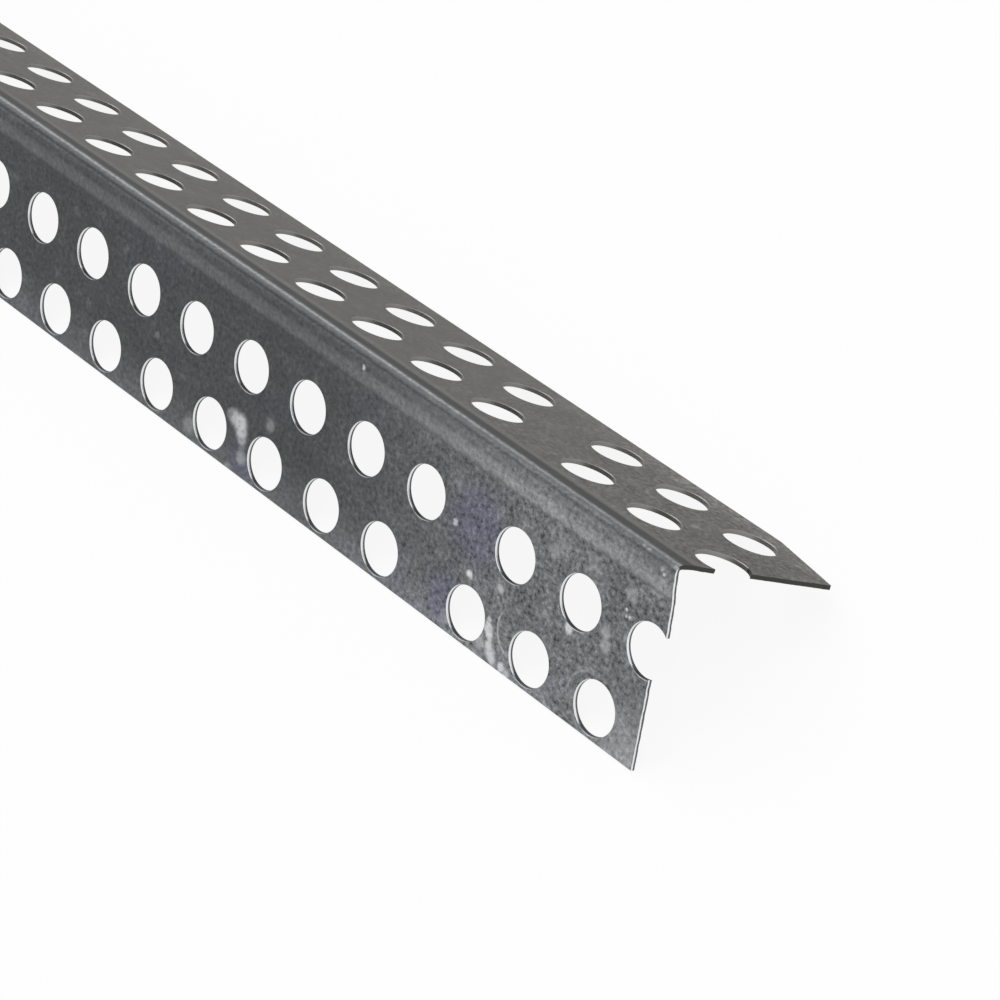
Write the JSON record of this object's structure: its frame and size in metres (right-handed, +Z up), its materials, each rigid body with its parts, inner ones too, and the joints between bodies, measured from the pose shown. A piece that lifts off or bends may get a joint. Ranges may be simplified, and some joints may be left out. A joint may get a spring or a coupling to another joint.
{
  "type": "drywall corner bead",
  "caption": "Long perforated angle of thin galvanised sheet that is fixed over an outside wall corner to guard and straighten it under plaster or filler.",
  "frame": {"origin": "middle of the length, midway between the two free edges, on the floor that they rest on", "axes": "+X along the strip towards its cut end, +Z up through the nose, -Y towards the front flange"},
  "size_m": [2.5, 0.0258, 0.0155],
  "materials": {
    "galvanised_steel": "dull mottled zinc coating on rolled steel sheet, stained in places"
  },
  "bodies": {
    "root": {"bead": "galvanised_steel"}
  },
  "joints": []
}
